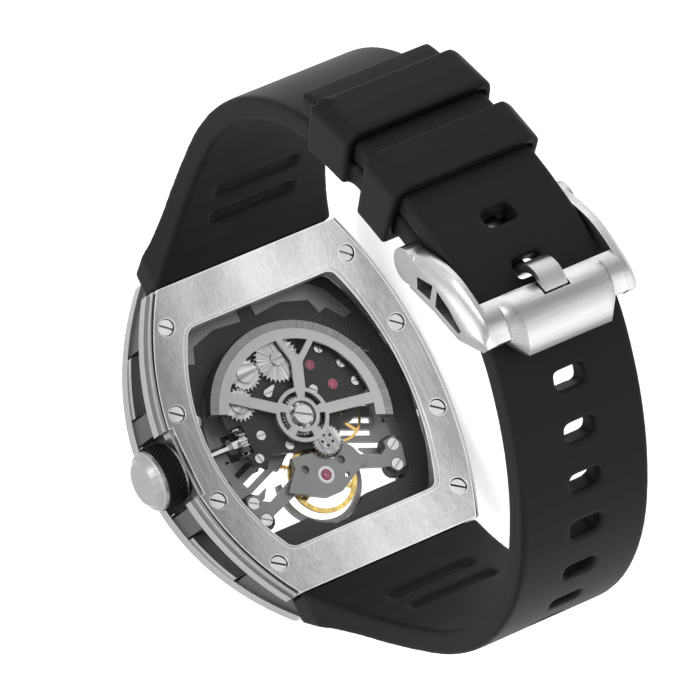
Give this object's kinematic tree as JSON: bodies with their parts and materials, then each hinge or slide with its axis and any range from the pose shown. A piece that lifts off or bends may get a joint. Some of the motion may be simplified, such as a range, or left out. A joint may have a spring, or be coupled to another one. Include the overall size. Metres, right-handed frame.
{
  "type": "mechanical wristwatch",
  "caption": "Automatic skeleton wristwatch with a curved barrel-shaped steel case, glazed back and rotor, on a buckled black rubber strap, lying on its side.",
  "frame": {"origin": "middle of the flat outer face of the back crystal, on the rotor's axis", "axes": "+Z towards the crown, +Y out of the caseback towards the wrist, -X towards twelve o'clock, so the watch lies on its nine o'clock side"},
  "size_m": [0.079, 0.0895, 0.046],
  "materials": {
    "satin_steel": "satin brushed",
    "bright_steel": "polished",
    "case_grey": "matte dark grey",
    "movement_dark": "matte black with fine grain",
    "movement_grey": "matte grey",
    "rotor_grey": "fine blasted",
    "weight_metal": "radial brushed",
    "winding_steel": "sunray brushed",
    "gold_brass": "satin gold",
    "blue_steel": "polished blued",
    "ruby": "polished red",
    "black_rubber": "soft matte",
    "clear_glass": "clear polished",
    "white_lacquer": "satin white"
  },
  "bodies": {
    "case": {"caseback": "satin_steel", "caseback_crystal": "clear_glass", "caseback_gasket": "black_rubber", "caseback_screws": "bright_steel", "rear_frame": "satin_steel", "case_band": "case_grey", "bezel_gasket": "black_rubber", "bezel": "satin_steel", "front_crystal": "clear_glass", "bezel_screws": "bright_steel", "crown_tube": "bright_steel", "flange_ring": "case_grey", "hour_markers": "white_lacquer", "motion_bridge": "movement_dark", "movement_holder": "case_grey", "main_plate": "movement_grey", "barrel_bridge": "movement_dark", "train_bridge": "movement_dark", "balance_bridge": "movement_grey", "pallet_bridge": "movement_grey", "movement_screws": "bright_steel", "jewels": "ruby", "hairspring": "blue_steel", "rotor_bearing": "bright_steel", "bearing_balls": "bright_steel", "strap_long": "black_rubber", "strap_short": "black_rubber", "strap_bars": "bright_steel", "spring_bar": "bright_steel"},
    "pinion": {"winding_pinion": "bright_steel"},
    "crown": {"crown_cap": "satin_steel", "crown_grip": "black_rubber", "winding_stem": "bright_steel"},
    "crown_gear": {"crown_wheel": "winding_steel"},
    "transfer_gear": {"transfer_wheel": "winding_steel"},
    "ratchet": {"ratchet_wheel": "winding_steel", "barrel_arbor": "bright_steel"},
    "click_lever": {"click": "bright_steel"},
    "barrel": {"barrel_drum": "gold_brass", "mainspring": "blue_steel"},
    "intermediate": {"intermediate_wheel": "gold_brass"},
    "center": {"center_wheel": "gold_brass", "minute_hand": "white_lacquer"},
    "third": {"third_wheel": "gold_brass"},
    "fourth": {"fourth_wheel": "gold_brass"},
    "escape": {"escape_wheel": "bright_steel"},
    "pallet": {"pallet_fork": "bright_steel"},
    "balance": {"balance_wheel": "gold_brass", "balance_staff": "bright_steel"},
    "motion": {"motion_wheel": "gold_brass"},
    "hour": {"hour_wheel": "gold_brass", "hour_hand": "white_lacquer"},
    "rotor": {"rotor_plate": "rotor_grey", "rotor_weight": "weight_metal", "rotor_gear": "winding_steel"},
    "reverser": {"reversing_wheel": "winding_steel"},
    "keeper": {"free_keeper": "black_rubber"},
    "buckle": {"buckle_frame": "satin_steel"},
    "tang": {"buckle_tang": "satin_steel"}
  },
  "joints": [
    {"name": "winding_turn", "type": "hinge", "parent": "case", "child": "pinion", "pos_m": [0, -0.00435, 0.0091], "axis": [0, 0, 1], "continuous": true},
    {"name": "crown_pull", "type": "slide", "parent": "pinion", "child": "crown", "axis": [0, 0, 1], "range_m": [0, 0.0012]},
    {"name": "crown_wheel_turn", "type": "hinge", "parent": "case", "child": "crown_gear", "pos_m": [-0.00461, -0.0024, 0.00762], "axis": [0, -1, 0], "continuous": true},
    {"name": "transfer_turn", "type": "hinge", "parent": "case", "child": "transfer_gear", "pos_m": [-0.0081, -0.0024, 0.00494], "axis": [0, -1, 0], "continuous": true},
    {"name": "ratchet_turn", "type": "hinge", "parent": "case", "child": "ratchet", "pos_m": [-0.0084, -0.0024, -0.00045], "axis": [0, -1, 0], "continuous": true},
    {"name": "click_swing", "type": "hinge", "parent": "case", "child": "click_lever", "pos_m": [-0.0046, -0.0024, 0.0029], "axis": [0, -1, 0], "range_deg": [0, 12], "stiffness_Nm_per_rad": 0.0000003, "springref_deg": -17.19},
    {"name": "fourth_turn", "type": "hinge", "parent": "case", "child": "fourth", "pos_m": [0.00175, -0.00481, -0.0061], "axis": [0, -1, 0], "continuous": true},
    {"name": "barrel_turn", "type": "hinge", "parent": "case", "child": "barrel", "pos_m": [-0.0084, -0.00465, -0.00045], "axis": [0, -1, 0], "continuous": true},
    {"name": "intermediate_turn", "type": "hinge", "parent": "case", "child": "intermediate", "pos_m": [-0.006, -0.00465, -0.0049], "axis": [0, -1, 0], "continuous": true},
    {"name": "center_turn", "type": "hinge", "parent": "case", "child": "center", "pos_m": [0, -0.00672, 0], "axis": [0, -1, 0], "continuous": true},
    {"name": "third_turn", "type": "hinge", "parent": "case", "child": "third", "pos_m": [-0.0024, -0.00515, -0.0068], "axis": [0, -1, 0], "continuous": true},
    {"name": "escape_turn", "type": "hinge", "parent": "case", "child": "escape", "pos_m": [0.00395, -0.00515, -0.0029], "axis": [0, -1, 0], "continuous": true},
    {"name": "motion_turn", "type": "hinge", "parent": "case", "child": "motion", "pos_m": [-0.0019, -0.007, 0.0026], "axis": [0, -1, 0], "continuous": true},
    {"name": "hour_turn", "type": "hinge", "parent": "case", "child": "hour", "pos_m": [0, -0.00725, 0], "axis": [0, -1, 0], "continuous": true},
    {"name": "pallet_rock", "type": "hinge", "parent": "case", "child": "pallet", "pos_m": [0.0061, -0.00515, -0.00155], "axis": [0, -1, 0], "range_deg": [-4, 4]},
    {"name": "balance_swing", "type": "hinge", "parent": "case", "child": "balance", "pos_m": [0.0086, -0.0044, 0], "axis": [0, -1, 0], "range_deg": [-270, 270], "stiffness_Nm_per_rad": 0.0000012},
    {"name": "rotor_turn", "type": "hinge", "parent": "case", "child": "rotor", "pos_m": [0, -0.00165, 0], "axis": [0, -1, 0], "continuous": true},
    {"name": "reverser_turn", "type": "hinge", "parent": "case", "child": "reverser", "pos_m": [0.00439, -0.0022, -0.00195], "axis": [0, -1, 0], "continuous": true},
    {"name": "keeper_slide", "type": "hinge", "parent": "case", "child": "keeper", "pos_m": [0.01792, 0.00168, 0], "axis": [0, 0, 1], "range_deg": [-2.6, 2.4]},
    {"name": "buckle_tilt", "type": "hinge", "parent": "case", "child": "buckle", "pos_m": [-0.00498, 0.06783, 0], "axis": [0, 0, 1], "range_deg": [-1.5, 1.2]},
    {"name": "tang_tilt", "type": "hinge", "parent": "case", "child": "tang", "pos_m": [-0.00498, 0.06783, 0], "axis": [0, 0, 1], "range_deg": [-1.2, 1.2]}
  ],
  "couplings": [
    {"joint": "crown_wheel_turn", "follows": "winding_turn", "ratio": -0.72727},
    {"joint": "transfer_turn", "follows": "winding_turn", "ratio": 0.72727},
    {"joint": "ratchet_turn", "follows": "winding_turn", "ratio": -0.5},
    {"joint": "third_turn", "follows": "fourth_turn", "ratio": -0.13333},
    {"joint": "center_turn", "follows": "fourth_turn", "ratio": 0.016667},
    {"joint": "intermediate_turn", "follows": "fourth_turn", "ratio": -0.078431},
    {"joint": "barrel_turn", "follows": "fourth_turn", "ratio": 0.010599},
    {"joint": "escape_turn", "follows": "fourth_turn", "ratio": -12},
    {"joint": "motion_turn", "follows": "fourth_turn", "ratio": -0.0055556},
    {"joint": "hour_turn", "follows": "fourth_turn", "ratio": 0.0013889},
    {"joint": "reverser_turn", "follows": "rotor_turn", "ratio": -1.2857}
  ]
}
